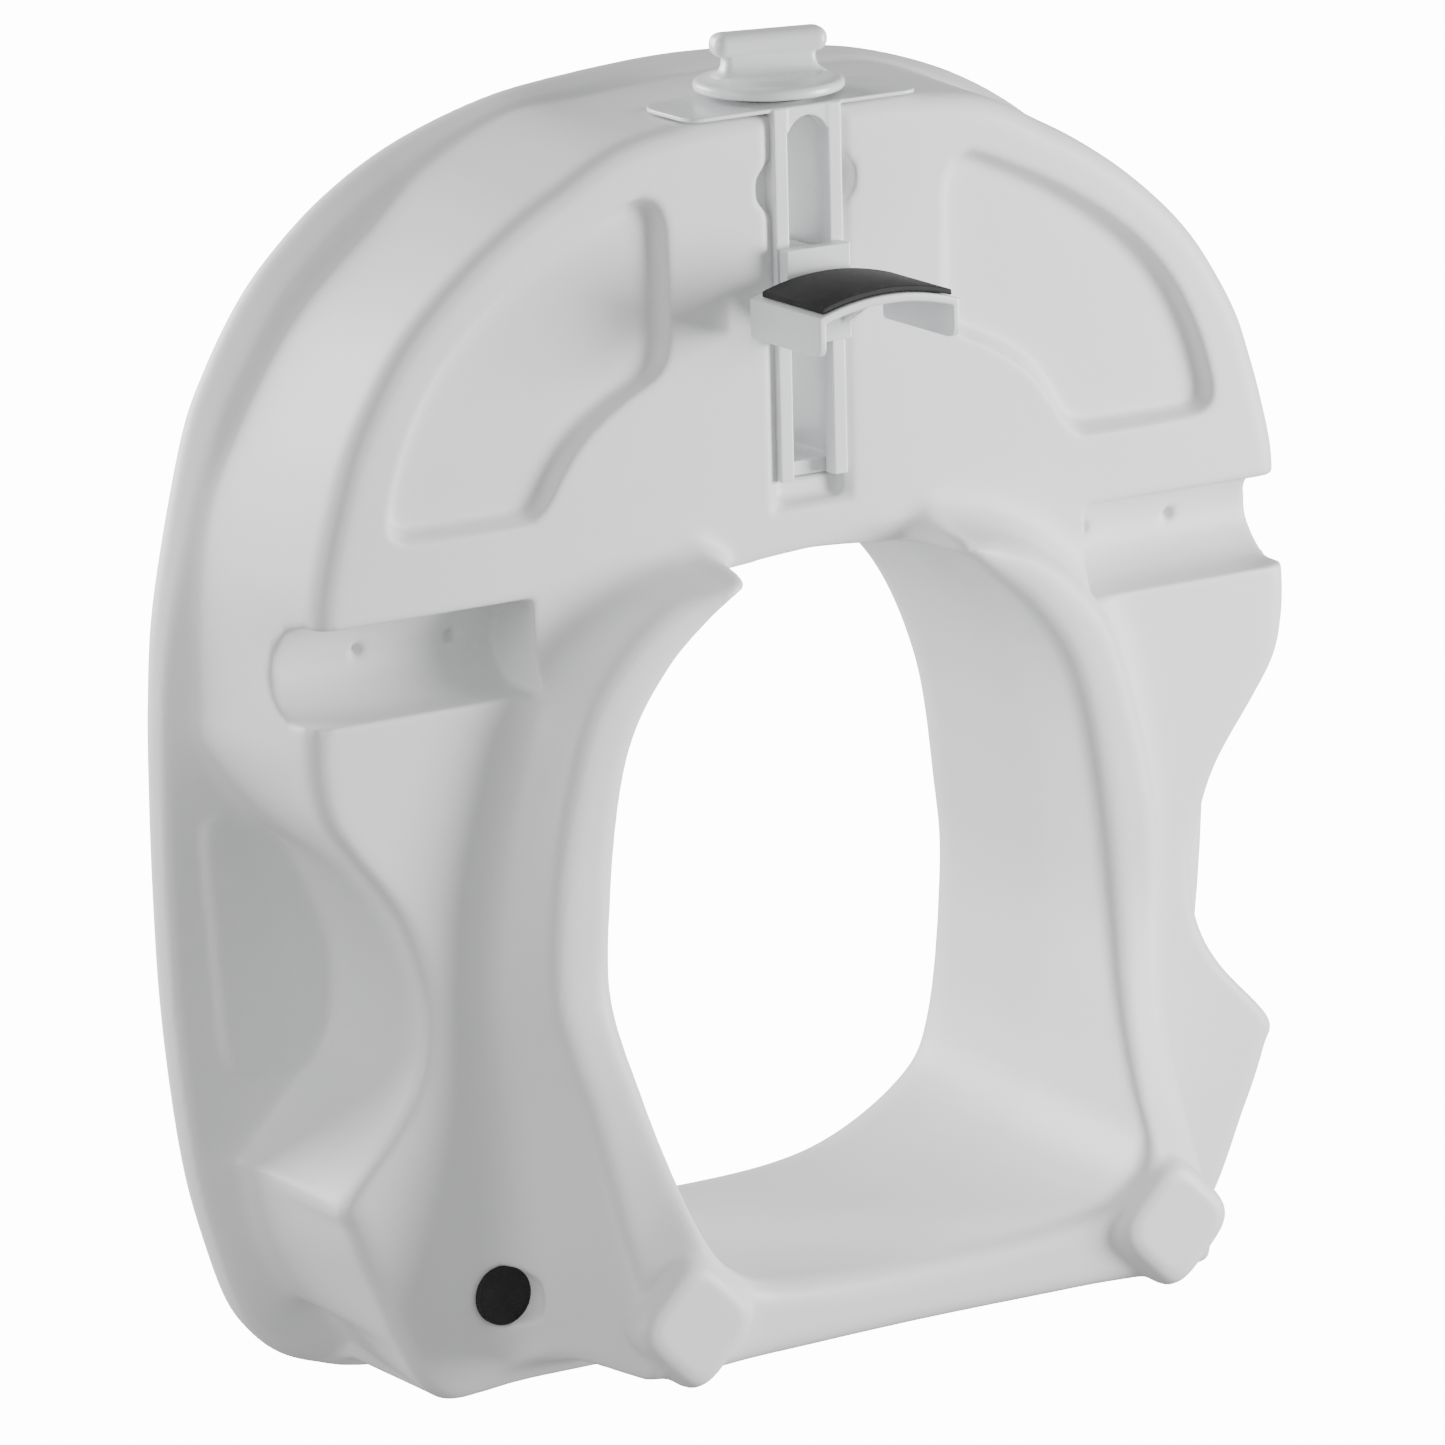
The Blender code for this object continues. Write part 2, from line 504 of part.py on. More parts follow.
def build_jaw():
    """Slider over the rails, neck and keeper between them, cheeks for the nut and the arched plate."""
    jaw = arched_sheet("clamp_jaw", JAW_HALF, (JAW_NEAR, JAW_FAR), 0.0, JAW_THICK, parts)
    for side in (-1, 1):
        join(jaw, jaw_ear(side), jaw_rib(side))
    neck, rear, front = RAIL_IN - GAP, CHEEKS[0], CHEEKS[1] + CHEEK_THICK
    join(jaw, block("slider", (-0.0125, 0.0125), SLIDER, (RAIL_DOWN + GAP, JAW_NEAR + 0.0001)),
         block("neck", (-neck, neck), (rear - 0.0002, front + 0.0002), (-RAIL_UP - 0.0050, 0.0030)),
         block("keeper", (-0.0100, 0.0100), (rear, front), (-RAIL_UP - 0.0045, -RAIL_UP - GAP)))
    for start in CHEEKS:
        join(jaw, block("cheek", (-0.0098, 0.0098), (start, start + CHEEK_THICK), (-0.0310, -RAIL_UP - 0.0010)))
    cut(jaw, rod("screw_way", 0.0, AXIS_UP, SCREW_R + 0.0008, (0.060, 0.120)))
    return [cleaned(jaw)]


def build_nut():
    nut = block("travel_nut", (-NUT_HALF, NUT_HALF), (CHEEKS[0] + CHEEK_THICK + GAP, CHEEKS[1] - GAP),
                (-AXIS_UP - NUT_UP, -AXIS_UP + NUT_UP), parts)
    bevelled(nut, 0.0010, 1)
    cut(nut, rod("nut_bore", 0.0, AXIS_UP, SCREW_R + GAP, (0.060, 0.120), 20))
    return [cleaned(nut)]


def build_bearings():
    """Thrust washer under the knob and the tail bush."""
    return [washer_ring("thrust_washer", SCREW_R + GAP, WASHER_R, PLATE_FRONT + GAP, WASHER_THICK, 32),
            washer_ring("tail_bush", JOURNAL_R + GAP, 0.0049, RAIL_REAR + 0.0001, TAIL_THICK - 0.0002, 20)]


def build_clip():
    return [washer_ring("screw_clip", 0.0039, CLIP_R, CLIP_AHEAD, CLIP_THICK, 20)]


def build_rubber():
    low = JAW_THICK + GAP
    pad = arched_sheet("jaw_pad", PAD_HALF, (PAD_NEAR, PAD_FAR), low, low + PAD_THICK, parts)
    depth = (GAP - BUMPER_SINK, GAP - BUMPER_SINK + BUMPER_THICK)
    return [pad] + [puck(name, side * BUMPER_X, BUMPER_AHEAD, depth, BUMPER_R, 32, parts)
                    for name, side in (("bumper_left", -1), ("bumper_right", 1))]


def paint(objects, name, colour, roughness, metallic=0.0):
    """Give each piece a Principled material of its own, and smooth its rounded faces."""
    for obj in objects:
        obj.data.shade_smooth()
        obj.data.set_sharp_from_angle(angle=math.radians(35))
        mat = bpy.data.materials.new(obj.name + "_" + name)
        mat.use_nodes = True
        shader = mat.node_tree.nodes["Principled BSDF"]
        shader.inputs["Base Color"].default_value = (*colour, 1.0)
        shader.inputs["Roughness"].default_value = roughness
        shader.inputs["Metallic"].default_value = metallic
        mat.diffuse_color = (*colour, 1.0)
        obj.data.materials.clear()
        obj.data.materials.append(mat)


def set_origin(objects, origin):
    for obj in objects:
        obj.data.transform(Matrix.Translation(-origin))
        obj.location = origin


def build_all():
    shell, frame, knob, screw = build_shell(), build_frame(), build_knob(), build_screw()
    jaw, nut, clip = build_jaw(), build_nut(), build_clip()
    washer, bush = build_bearings()
    pad, *bumpers = build_rubber()
    paint(shell, "moulded_white", (0.80, 0.80, 0.79), 0.45)
    paint(frame + knob + jaw, "satin_white", (0.84, 0.85, 0.86), 0.30)
    paint([pad] + bumpers, "black_rubber", (0.020, 0.020, 0.022), 0.75)
    paint(screw + clip, "zinc_steel", (0.62, 0.62, 0.60), 0.35, 1.0)
    paint(nut + [washer, bush], "acetal", (0.75, 0.74, 0.70), 0.40)
    set_origin(knob + screw + clip + jaw + nut + [washer, pad], place(0.0, LAND_AHEAD, -AXIS_UP))


clear_scene()
build_all()
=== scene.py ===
import math

import bmesh
import bpy
import numpy as np
from mathutils import Matrix, Vector


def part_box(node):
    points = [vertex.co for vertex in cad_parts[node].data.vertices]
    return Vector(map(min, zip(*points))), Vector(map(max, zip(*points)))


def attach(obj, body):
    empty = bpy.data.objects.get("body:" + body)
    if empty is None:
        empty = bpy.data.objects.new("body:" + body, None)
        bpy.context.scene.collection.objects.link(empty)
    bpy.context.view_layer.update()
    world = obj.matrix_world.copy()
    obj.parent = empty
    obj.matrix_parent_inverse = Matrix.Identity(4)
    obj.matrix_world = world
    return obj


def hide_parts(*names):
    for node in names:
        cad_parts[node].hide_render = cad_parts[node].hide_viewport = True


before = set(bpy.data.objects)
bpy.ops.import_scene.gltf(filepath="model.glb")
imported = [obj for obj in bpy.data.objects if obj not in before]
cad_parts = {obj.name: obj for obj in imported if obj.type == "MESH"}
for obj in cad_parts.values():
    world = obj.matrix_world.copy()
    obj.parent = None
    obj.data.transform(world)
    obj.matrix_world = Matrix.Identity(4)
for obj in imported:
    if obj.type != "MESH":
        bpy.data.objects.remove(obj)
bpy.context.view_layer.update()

MM = 0.001

# Drawing terms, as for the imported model: x across, ahead towards the front, down below the face
# that rests on the bowl. All drawing numbers are millimetres; place() turns them into metres.
PLATE_FRONT, PLATE_UP, PLATE_DOWN, PLATE_HALF = 150.3, 34.0, 0.8, 44.5
RISE = 97.0                                      # bowl face to the crest of the seat
SHIFT_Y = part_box("guide_frame")[0][1] + PLATE_FRONT * MM
FOOT_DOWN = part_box("seat_shell")[1][2] - RISE * MM
AXIS_UP = 21.5                                   # spindle axis above the bowl face

# ---- body outlines: (half width, ahead), front centre to back centre ------------------------
FLANGE_UNDER, FLANGE_LIP, DISH, OPENING_AHEAD = 66.5, 72.0, 9.0, -113.0
PAD_RISE = 68.2                                  # level of the flat pad in each hand scallop
BEND_UP, TILT, TILT_AHEAD = 13.0, 0.05, -219.0   # fold of the inner wall, and slope of the rear underside
LIP_LEAST, BANK_LEAST, BANK_SHARE = 5, 3, 0.30   # least width of rim and bank, knee of the bank
THROAT = 9                                       # fall from the seat's dish to the edge of the opening
EDGE_ROLL = ((0, 13.5, 6.0), (9, 5.5, 8.0), (28, 0, 12.0))   # in from the edge, below the crest, rounding
TUCK, TUCK_MORE, TUCK_LIFT = 1, 5, 3.5           # set-back of the flange's lower edge, more at the front
TUCK_AHEAD, TUCK_RUN, TUCK_SHARE = -30, 110, 0.65
OPENING_TOP = ((0, 7), (40, 1), (73, -26), (92, -65), (99, -110), (101, -140), (96, -189), (84, -211),
               (48, -229), (0, -233))
LIP_IN = ((0, 1), (30, -1.2), (37, -1.2), (41, -1.5), (47, -4), (56, -12), (69, -24), (82, -42), (89, -63),
          (94, -96), (96, -129), (92, -160), (89, -184), (86, -203), (76, -216), (56, -224), (0, -226.5))
COLLAR_DROP = (0, 0, 8, 23, 26, 25, 25, 25, 25, 26, 28, 39, 52, 65, 66, 62, 60)   # one for each lip point
LIP_OUT = ((0, 6), (31, 3), (72, -4), (100, -29), (112, -60), (119, -93), (121, -125), (118, -146),
           (114, -172), (112, -238), (104, -248), (60, -249), (0, -249))
ROOT = ((0, 12), (44, 10), (84, -2), (114, -32), (128, -80), (131, -125), (128, -170), (126, -215),
        (124, -247), (112, -257), (0, -257))
CREASE = ((0, 150), (63, 146), (98, 131), (122, 117), (140, 103), (154, 89), (164, 75), (173, 59), (178, 45),
          (183, 28), (187, 10), (188, -10), (191, -31), (191, -46), (188, -61), (179, -75), (163, -97),
          (155, -118), (152.5, -134), (155, -151), (164, -168), (184, -190), (182, -200), (174, -219),
          (152, -262), (110, -263), (0, -263))
SIDE_TOP = ((0, 151), (47, 148), (72, 146), (101, 134), (124, 118), (153, 93), (173, 65), (188, 34),
            (195, 0), (197, -31), (196, -48), (182, -70), (163, -88), (150, -119), (149, -140), (153, -155),
            (167, -169), (184, -188), (186, -192), (181, -217), (170, -238), (158, -244), (147, -259),
            (138, -266), (0, -268))
FLANGE = ((0, 157), (48, 154), (78, 149), (109, 139), (133, 126), (152, 111), (167, 95), (181, 73), (191, 50),
          (203, 0), (206.5, -34), (207.5, -67), (207.5, -101), (206.5, -135), (203.5, -169), (199, -199),
          (192, -225), (185.5, -243), (178, -254), (168, -263), (156, -268), (138, -272.5), (90, -277),
          (0, -278))

# ---- features of the body -------------------------------------------------------------------
PANEL = ((54, 122), (62, 129), (96, 114), (118, 101), (135, 87), (147, 72), (156, 54), (162, 33),
         (159, 26), (104, 25), (96, 39), (86, 51), (69, 62), (57, 67), (53, 76))
PANEL_DEPTH, PANEL_SLOPE = 6.0, 3.6
ARM_WIDTH, ARM_DEPTH, ARM_INNER, ARM_REAR = 31.0, 26.0, 108.0, -30.5
ARM_OUTER, ARM_FLARE, ARM_STRAIGHT = 240, 1.5, 2  # past the flange, wider mouth, end of the flare
DIMPLE_X, DIMPLE_R, DIMPLE_AHEAD, DIMPLE_UP = (124.5, 159.5), 2.4, -13.5, 27.0
CHANNEL_HALF, CHANNEL_DEPTH, CHANNEL_REAR = 15.5, 37.0, 16.0
OPEN_AHEAD, OPEN_DOWN = 190, 50                  # where cutters run out of the body
LEDGE_UP, SLOT_HALF = 1.4, 13.4                  # shallow ledge beside the rails, deep slot between
MOUTH_HALF, MOUTH_DEPTH, SLOT_REAR = 11.2, 4.4, 25.4   # narrower mouth of the slot
TOE_HALF, TOE_DEPTH = 12.5, 6.0                  # shallow end of the channel behind the rails
POCKET_AHEAD, POCKET_X, POCKET_R, POCKET_DEPTH = 124.0, 10.0, 9.2, 4.0
LAND_AHEAD, LAND_CLEAR = 148.0, 0.8
FOOT_R, FOOT_X, FOOT_AHEAD = 16.5, 94.0, -230.0
FOOT_RINGS = ((42, 0.86), (52, 1.02), (59, 1.12), (64, 1.14), (67, 1.08), (69.2, 0.97), (70, 0.80))
FOOT_SIDES, FOOT_POWER = 48, 4                   # smoothness and squareness of a foot
SCALLOP_PAD = ((195, -70), (189, -163), (150, -156), (150, -82))
BUMPER_R, BUMPER_X, BUMPER_AHEAD = 10.0, 127.0, -230.5
BUMPER_SEAT, BUMPER_BACK, BUMPER_FACE, BUMPER_SOFT = 1.6, 1.5, 1.2, 0.6

STATIONS = 480            # sections round the body
SKIN = 1.3 * MM      # grid of the moulded skin
FINE = 0.35 * MM     # grid of the small mouldings


def place(x, ahead, down):
    """World point for a place on the drawing."""
    return Vector((x * MM, SHIFT_Y - ahead * MM, FOOT_DOWN - down * MM))


# ---- building helpers -----------------------------------------------------------------------
def add_mesh(name, bm):
    bmesh.ops.remove_doubles(bm, verts=bm.verts, dist=1e-6)
    bmesh.ops.recalc_face_normals(bm, faces=bm.faces)
    mesh = bpy.data.meshes.new(name)
    bm.to_mesh(mesh)
    bm.free()
    obj = bpy.data.objects.new(name, mesh)
    bpy.context.scene.collection.objects.link(obj)
    return obj


def settle(obj):
    """Apply the object's modifiers to its mesh."""
    bpy.context.view_layer.update()
    graph = bpy.context.evaluated_depsgraph_get()
    mesh = bpy.data.meshes.new_from_object(obj.evaluated_get(graph))
    obj.modifiers.clear()
    obj.data = mesh
    return obj


def combine(target, other, operation, solver="MANIFOLD"):
    mod = target.modifiers.new("combine", "BOOLEAN")
    mod.operation = operation
    mod.solver = solver
    mod.object = other
    settle(target)
    bpy.data.objects.remove(other, do_unlink=True)


def cut(target, *others):
    for other in others:
        combine(target, other, "DIFFERENCE")


def join(target, *others):
    for other in others:
        combine(target, other, "UNION")


def moulded(obj, grid, passes):
    """Rebuild the solid as one even skin with softened edges, as it leaves the mould."""
    skin = obj.modifiers.new("skin", "REMESH")
    skin.mode = "VOXEL"
    skin.voxel_size = grid
    skin.use_smooth_shade = True
    soft = obj.modifiers.new("soften", "SMOOTH")
    soft.factor = 0.5
    soft.iterations = passes
    settle(obj)
    obj.data.shade_smooth()
    return obj


def bevelled(obj, width, segments=3):
    mod = obj.modifiers.new("round_edges", "BEVEL")
    mod.width = width * MM
    mod.segments = segments
    mod.limit_method = "ANGLE"
    mod.angle_limit = math.radians(40)
    return settle(obj)


def smooth(obj, angle=40):
    """Shade smoothly, with edges sharper than the angle kept."""
    obj.data.shade_smooth()
    obj.data.set_sharp_from_angle(angle=math.radians(angle))
    return obj


def block(name, x, ahead, down):
    """Box stretched between (low, high) pairs across, ahead and down."""
    bm = bmesh.new()
    middle = place(sum(x) / 2, sum(ahead) / 2, sum(down) / 2)
    size = ((x[1] - x[0]) * MM, (ahead[1] - ahead[0]) * MM, (down[1] - down[0]) * MM, 1.0)
    bmesh.ops.create_cube(bm, size=1.0, matrix=Matrix.Translation(middle) @ Matrix.Diagonal(size))
    return add_mesh(name, bm)


def cylinder(name, centre, turn, radius, length, sides):
    bm = bmesh.new()
    bmesh.ops.create_cone(bm, cap_ends=True, segments=sides, radius1=radius * MM, radius2=radius * MM,
                          depth=length * MM, matrix=Matrix.Translation(centre) @ turn)
    return add_mesh(name, bm)


def rod(name, x, up, radius, ahead, sides=48):
    """Cylinder along the fore-and-aft line."""
    turn = Matrix.Rotation(math.pi / 2, 4, "X")
    return cylinder(name, place(x, sum(ahead) / 2, -up), turn, radius, ahead[1] - ahead[0], sides)


def puck(name, x, ahead, down, radius, sides=64):
    """Upright cylinder between two depths."""
    turn = Matrix.Identity(4)
    return cylinder(name, place(x, ahead, sum(down) / 2), turn, radius, down[1] - down[0], sides)


def spun(name, profile, sides, turn, lead=0.0, turns=1):
    """Profile of (radius, along) points turned about the local Z axis with a Screw modifier."""
    closed = profile[0] == profile[-1]
    points = profile[:-1] if closed else profile
    edges = [(i, i + 1) for i in range(len(points) - 1)] + ([(len(points) - 1, 0)] if closed else [])
    mesh = bpy.data.meshes.new(name)
    mesh.from_pydata([(r * MM, 0.0, z * MM) for r, z in points], edges, [])
    obj = bpy.data.objects.new(name, mesh)
    bpy.context.scene.collection.objects.link(obj)
    mod = obj.modifiers.new("turn", "SCREW")
    mod.axis = "Z"
    mod.steps = mod.render_steps = sides
    mod.screw_offset = lead * MM
    mod.iterations = turns
    mod.use_merge_vertices = lead == 0.0
    mod.merge_threshold = 1e-5
    settle(obj)
    bm = bmesh.new()
    bm.from_mesh(obj.data)
    bpy.data.objects.remove(obj, do_unlink=True)
    bmesh.ops.remove_doubles(bm, verts=bm.verts, dist=1e-6)
    bmesh.ops.holes_fill(bm, edges=[e for e in bm.edges if e.is_boundary])
    bm.transform(turn)
    return add_mesh(name, bm)


def along_spindle(ahead=0.0):
    """Frame with its Z axis on the spindle, pointing to the front."""
    return Matrix.Translation(place(0.0, ahead, -AXIS_UP)) @ Matrix.Rotation(math.pi / 2, 4, "X")


def loft(name, rings, closed):
    """Skin through rings of points; an open run of rings is capped at both ends."""
    bm = bmesh.new()
    rows = [[bm.verts.new(p) for p in ring] for ring in rings]
    pairs = list(zip(rows, rows[1:])) + ([(rows[-1], rows[0])] if closed else [])
    for ring, after in pairs:
        for k in range(len(ring)):
            j = (k + 1) % len(ring)
            bm.faces.new((ring[k], ring[j], after[j], after[k]))
    if not closed:
        bm.faces.new(rows[0])
        bm.faces.new(rows[-1])
    bmesh.ops.triangulate(bm, faces=bm.faces)
    return add_mesh(name, bm)


def prism_x(name, outline, x):
    """Outline of (ahead, down) points stretched across from one x to another."""
    return loft(name, [[place(end, ahead, down) for ahead, down in outline] for end in x], False)


def prism_down(name, outline, down):
    """Outline of (x, ahead) points stretched between two depths."""
    return loft(name, [[place(x, ahead, depth) for x, ahead in outline] for depth in down], False)


def rounded(corners, radii, steps):
    """Closed outline with its corners rounded by the given reaches."""
    corners = np.asarray(corners, float)
    points = []
    for k, (corner, reach) in enumerate(zip(corners, radii)):
        before, after = corners[k - 1] - corner, corners[(k + 1) % len(corners)] - corner
        start = corner + before * min(reach / max(np.hypot(*before), 1e-6), 0.48)
        end = corner + after * min(reach / max(np.hypot(*after), 1e-6), 0.48)
        for s in np.linspace(0, 1, steps):
            points.append((1 - s) ** 2 * start + 2 * s * (1 - s) * corner + s ** 2 * end)
    return points


def flowing(points, closed, steps=12):
    """Smooth curve through the points; an open one is mirrored at both ends."""
    p = np.asarray(points, float)
    if closed:
        p = np.vstack((p[-1], p, p[0], p[1]))
    else:
        mirror = np.array([-1.0] + [1.0] * (p.shape[1] - 1))
        p = np.vstack((p[1] * mirror, p, p[-2] * mirror))
    s = np.linspace(0, 1, steps, endpoint=False)[:, None]
    runs = []
    for a, b, c, d in zip(p, p[1:], p[2:], p[3:]):
        bend, twist = 2 * a - 5 * b + 4 * c - d, 3 * b - a - 3 * c + d
        runs.append(0.5 * (2 * b + (c - a) * s + bend * s ** 2 + twist * s ** 3))
    return np.vstack(runs if closed else runs + [p[-2:-1]])


# ---- moulded body ---------------------------------------------------------------------------
def polar(outline, values=None):
    """Angle from the front, and radius or another value, along a half outline."""
    table = [(x, ahead - OPENING_AHEAD) + (() if values is None else (values[k],))
             for k, (x, ahead) in enumerate(outline)]
    curve = flowing(table, False)
    angle = np.arctan2(np.maximum(curve[:, 0], 0), curve[:, 1])
    angle[-1] = math.pi
    return angle, np.hypot(curve[:, 0], curve[:, 1]) if values is None else curve[:, 2]


OUTLINES = {"top": OPENING_TOP, "lip_in": LIP_IN, "lip_out": LIP_OUT, "root": ROOT, "crease": CREASE,
            "side": SIDE_TOP, "flange": FLANGE}
CURVES = {key: polar(outline) for key, outline in OUTLINES.items()}
CURVES["drop"] = polar(LIP_IN, COLLAR_DROP)


def reach(key, t):
    return float(np.interp(min(t, math.tau - t), *CURVES[key]))


def section(t):
    """Rounded section of the body at an angle from the front, as (x, ahead, down) points."""
    top, edge, lip_in, drop = (reach(key, t) for key in ("top", "flange", "lip_in", "drop"))
    lip_out = max(reach("lip_out", t), lip_in + LIP_LEAST)
    root = max(reach("root", t), lip_out + BANK_LEAST)
    crease, side = reach("crease", t), reach("side", t)
    drop = max(drop, 0.0)
    bank = lip_out + (root - lip_out) * BANK_SHARE
    inner = RISE - DISH
    bend = lip_in + (top - lip_in) * (BEND_UP + drop) / (inner - THROAT + drop) + 1.2
    share = min(max((edge * math.cos(t) + OPENING_AHEAD - TUCK_AHEAD) / TUCK_RUN, 0.0), 1.0)
    tuck, lip_up = min(TUCK + TUCK_MORE * share, TUCK_SHARE * (edge - side)), FLANGE_LIP - TUCK_LIFT * share
    tilt = TILT * max(0.0, TILT_AHEAD - crease * math.cos(t) - OPENING_AHEAD)
    collar = ((bend, BEND_UP, 2.0), (lip_in, -drop, 9.0), (lip_out, -drop, 8.0),
              (bank, -BANK_SHARE * drop, 8.0))
    base = ((root, 0, 10.0), (crease, tilt, 8.0), (side, FLANGE_UNDER, 3.0))
    lip = ((edge - tuck - 1.5, lip_up - 0.5, 1.2), (edge - tuck, lip_up + 1.5, 1.5))
    roll = tuple((edge - inward, RISE - below, soft) for inward, below, soft in EDGE_ROLL)
    seat = ((top + (edge - top) * 0.40, RISE - 1.0, 12.0), (top + 5, inner + 3, 9.0),
            (top, inner - THROAT, 6.0))
    corners = collar + base + lip + roll + seat
    return [(r * math.sin(t), r * math.cos(t) + OPENING_AHEAD, -h)
            for r, h in rounded([c[:2] for c in corners], [c[2] for c in corners], 6)]


def body_blank():
    angles = np.linspace(0, math.tau, STATIONS, endpoint=False)
    return loft("seat_body", [[place(*p) for p in section(t)] for t in angles], True)


def panel_recess(side):
    """Sloped recess, widest at the bowl face."""
    outline = flowing(rounded(PANEL, [9] * len(PANEL), 3), True, 3)
    middle = outline.mean(axis=0)
    rings = []
    for down, inset in ((6, -PANEL_SLOPE), (-PANEL_DEPTH, PANEL_SLOPE)):
        out = outline - middle
        spread = middle + out * (1 - inset / np.hypot(out[:, 0], out[:, 1]))[:, None]
        rings.append([place(side * x, ahead, down) for x, ahead in spread])
    return loft("panel_recess", rings, False)


def arm_groove(side):
    """Round-bottomed groove that takes the tube of an arm rest."""
    radius, middle, deep = ARM_WIDTH / 2, ARM_REAR + ARM_WIDTH / 2, ARM_DEPTH - ARM_WIDTH / 2
    mouth, below = radius + ARM_FLARE, 8
    outline = [(middle - mouth, below), (middle + mouth, below), (middle + radius, -ARM_STRAIGHT)]
    outline += [(middle + radius * math.cos(a), -deep - radius * math.sin(a))
                for a in np.linspace(0, math.pi, 24)]
    outline += [(middle - radius, -ARM_STRAIGHT)]
    return prism_x("arm_groove", outline, [side * ARM_INNER, side * ARM_OUTER])


def clamp_channel():
    """Cutters for the clamp channel, for the land behind the front plate and for two round pockets."""
    front, floor = OPEN_AHEAD - 1, OPEN_DOWN - 10
    half = PLATE_HALF + LAND_CLEAR
    return [
        block("channel", (-CHANNEL_HALF, CHANNEL_HALF), (CHANNEL_REAR, OPEN_AHEAD), (-LEDGE_UP, OPEN_DOWN)),
        block("slot", (-SLOT_HALF, SLOT_HALF), (SLOT_REAR, front), (-CHANNEL_DEPTH, -MOUTH_DEPTH)),
        block("mouth", (-MOUTH_HALF, MOUTH_HALF), (SLOT_REAR, front), (-MOUTH_DEPTH - 1, floor)),
        block("toe", (-TOE_HALF, TOE_HALF), (CHANNEL_REAR + 2, SLOT_REAR + 1), (-TOE_DEPTH, floor)),
        block("land", (-half, half), (LAND_AHEAD, OPEN_AHEAD + 10), (-PLATE_UP - LAND_CLEAR, OPEN_DOWN)),
        *(puck("pocket", x, POCKET_AHEAD, (-POCKET_DEPTH, OPEN_DOWN), POCKET_R)
          for x in (-POCKET_X, POCKET_X))]


def corner_foot(side):
    """Blunt four-sided foot under the rear corner of the collar."""
    turn = math.radians(45)
    rings = []
    for down, size in FOOT_RINGS:
        ring = []
        for a in np.linspace(0, math.tau, FOOT_SIDES, endpoint=False):
            c, s = math.cos(a - turn), math.sin(a - turn)
            r = size * FOOT_R / (c ** FOOT_POWER + s ** FOOT_POWER) ** (1 / FOOT_POWER)
            ring.append(place(side * (FOOT_X + r * math.cos(a)), FOOT_AHEAD + r * math.sin(a), down))
        rings.append(ring)
    return loft("foot", rings, False)


def scallop_pad(side):
    """Flat pad on the flange's underside, in the roof of the hand scallop."""
    outline = [(side * x, ahead) for x, ahead in rounded(SCALLOP_PAD, [14, 14, 4, 4], 8)]
    return prism_down("scallop_pad", outline, (-FLANGE_LIP, -PAD_RISE))


def dimple(x):
    """Round-ended cutter for one dimple in the wall of an arm groove."""
    bm = bmesh.new()
    centre = Matrix.Translation(place(x, DIMPLE_AHEAD, -DIMPLE_UP))
    bmesh.ops.create_icosphere(bm, subdivisions=3, radius=DIMPLE_R * MM, matrix=centre)
    return add_mesh("dimple", bm)


def build_body():
    """The body with its feet, pads, recesses, grooves, dimples, bumper seats and clamp channel."""
    body = body_blank()
    for side in (-1, 1):
        join(body, corner_foot(side), scallop_pad(side))
        cut(body, panel_recess(side), arm_groove(side))
        cut(body, *(dimple(side * x) for x in DIMPLE_X))
        cut(body, puck("bumper_seat", side * BUMPER_X, BUMPER_AHEAD, (-BUMPER_SEAT, 12), BUMPER_R))
    cut(body, *clamp_channel())
    return moulded(body, SKIN, 6)


# ---- clamp ----------------------------------------------------------------------------------
TAIL_TOP = 5.0                                   # top of the tail wall, above the bowl face
SHEET = 1.5                                      # thickness at the plate's rim
PLATE_CORNERS = (13, 13, 6, 6)                   # rounding, upper pair then lower pair
RAIL_IN, RAIL_OUT, RAIL_DOWN, RAIL_UP, RAIL_REAR = 7.8, 13.0, 1.5, 4.0, 26.0
WEB_IN, WEB_UP, TAIL_THICK, ARCH_AHEAD = 11.0, 34.0, 5.0, 142.0
SCREW_R, CORE_R, JOURNAL_R, END_R, LEAD = 4.5, 3.9, 3.0, 2.7, 6.0
BORE_PLAY, JAW_PLAY, TAIL_BORE_R = 0.6, 0.8, 5.2   # room round the spindle, and the bore at its tail
CLIP_AHEAD, CLIP_GROOVE_R, WASHER_THICK, GAP = 141.5, 3.6, 1.4, 0.3
KNOB_R, KNOB_THICK, KNOB_ANGLE, SOCKET_END = 24.9, 5.4, 12.0, 162.0
KNOB_RIM = ((1.0, 0), (0, 0.8), (0, 2.6), (0.9, 3.6), (3.5, 4.2))   # in from its edge, along from its back
GRIP_HALF, GRIP_DEEP, GRIP_TALL, GRIP_TOP, GRIP_SOFT = 19.8, 11.0, 8.2, 172.0, 3.8
NECK_HALF, NECK_DEEP = 15.8, 7.6
NECK_FLARE = ((-1.0, 3.6), (0.2, 3.0), (1.0, 1.6), (2.0, 0.7), (3.4, 0.2), (5.0, 0.0))   # along, growth
KNOB_BACK = PLATE_FRONT + GAP + WASHER_THICK + GAP
KNOB_FACE = KNOB_BACK + KNOB_THICK
JAW_HALF, JAW_NEAR, JAW_FAR, JAW_AHEAD, JAW_RISE, JAW_THICK = 27.0, 6.4, 48.2, 87.4, 4.6, 2.8
EAR_HEIGHT, EAR_THICK, EAR_SOFT, RIB_X, RIB_THICK = 10.2, 2.6, 4.0, 10.0, 2.4
RIB = ((5, 4), (5, 33), (2, 28), (-6, 12), (-11, 4))   # ahead of the arch's ends, and down
SLIDER, SLIDER_HALF, KEEPER_HALF = (72.0, 104.0), 12.5, 10
CHEEKS, CHEEK_THICK, CHEEK_HALF, CHEEK_UP = (77.0, 97.6), 3.0, 9.8, 31
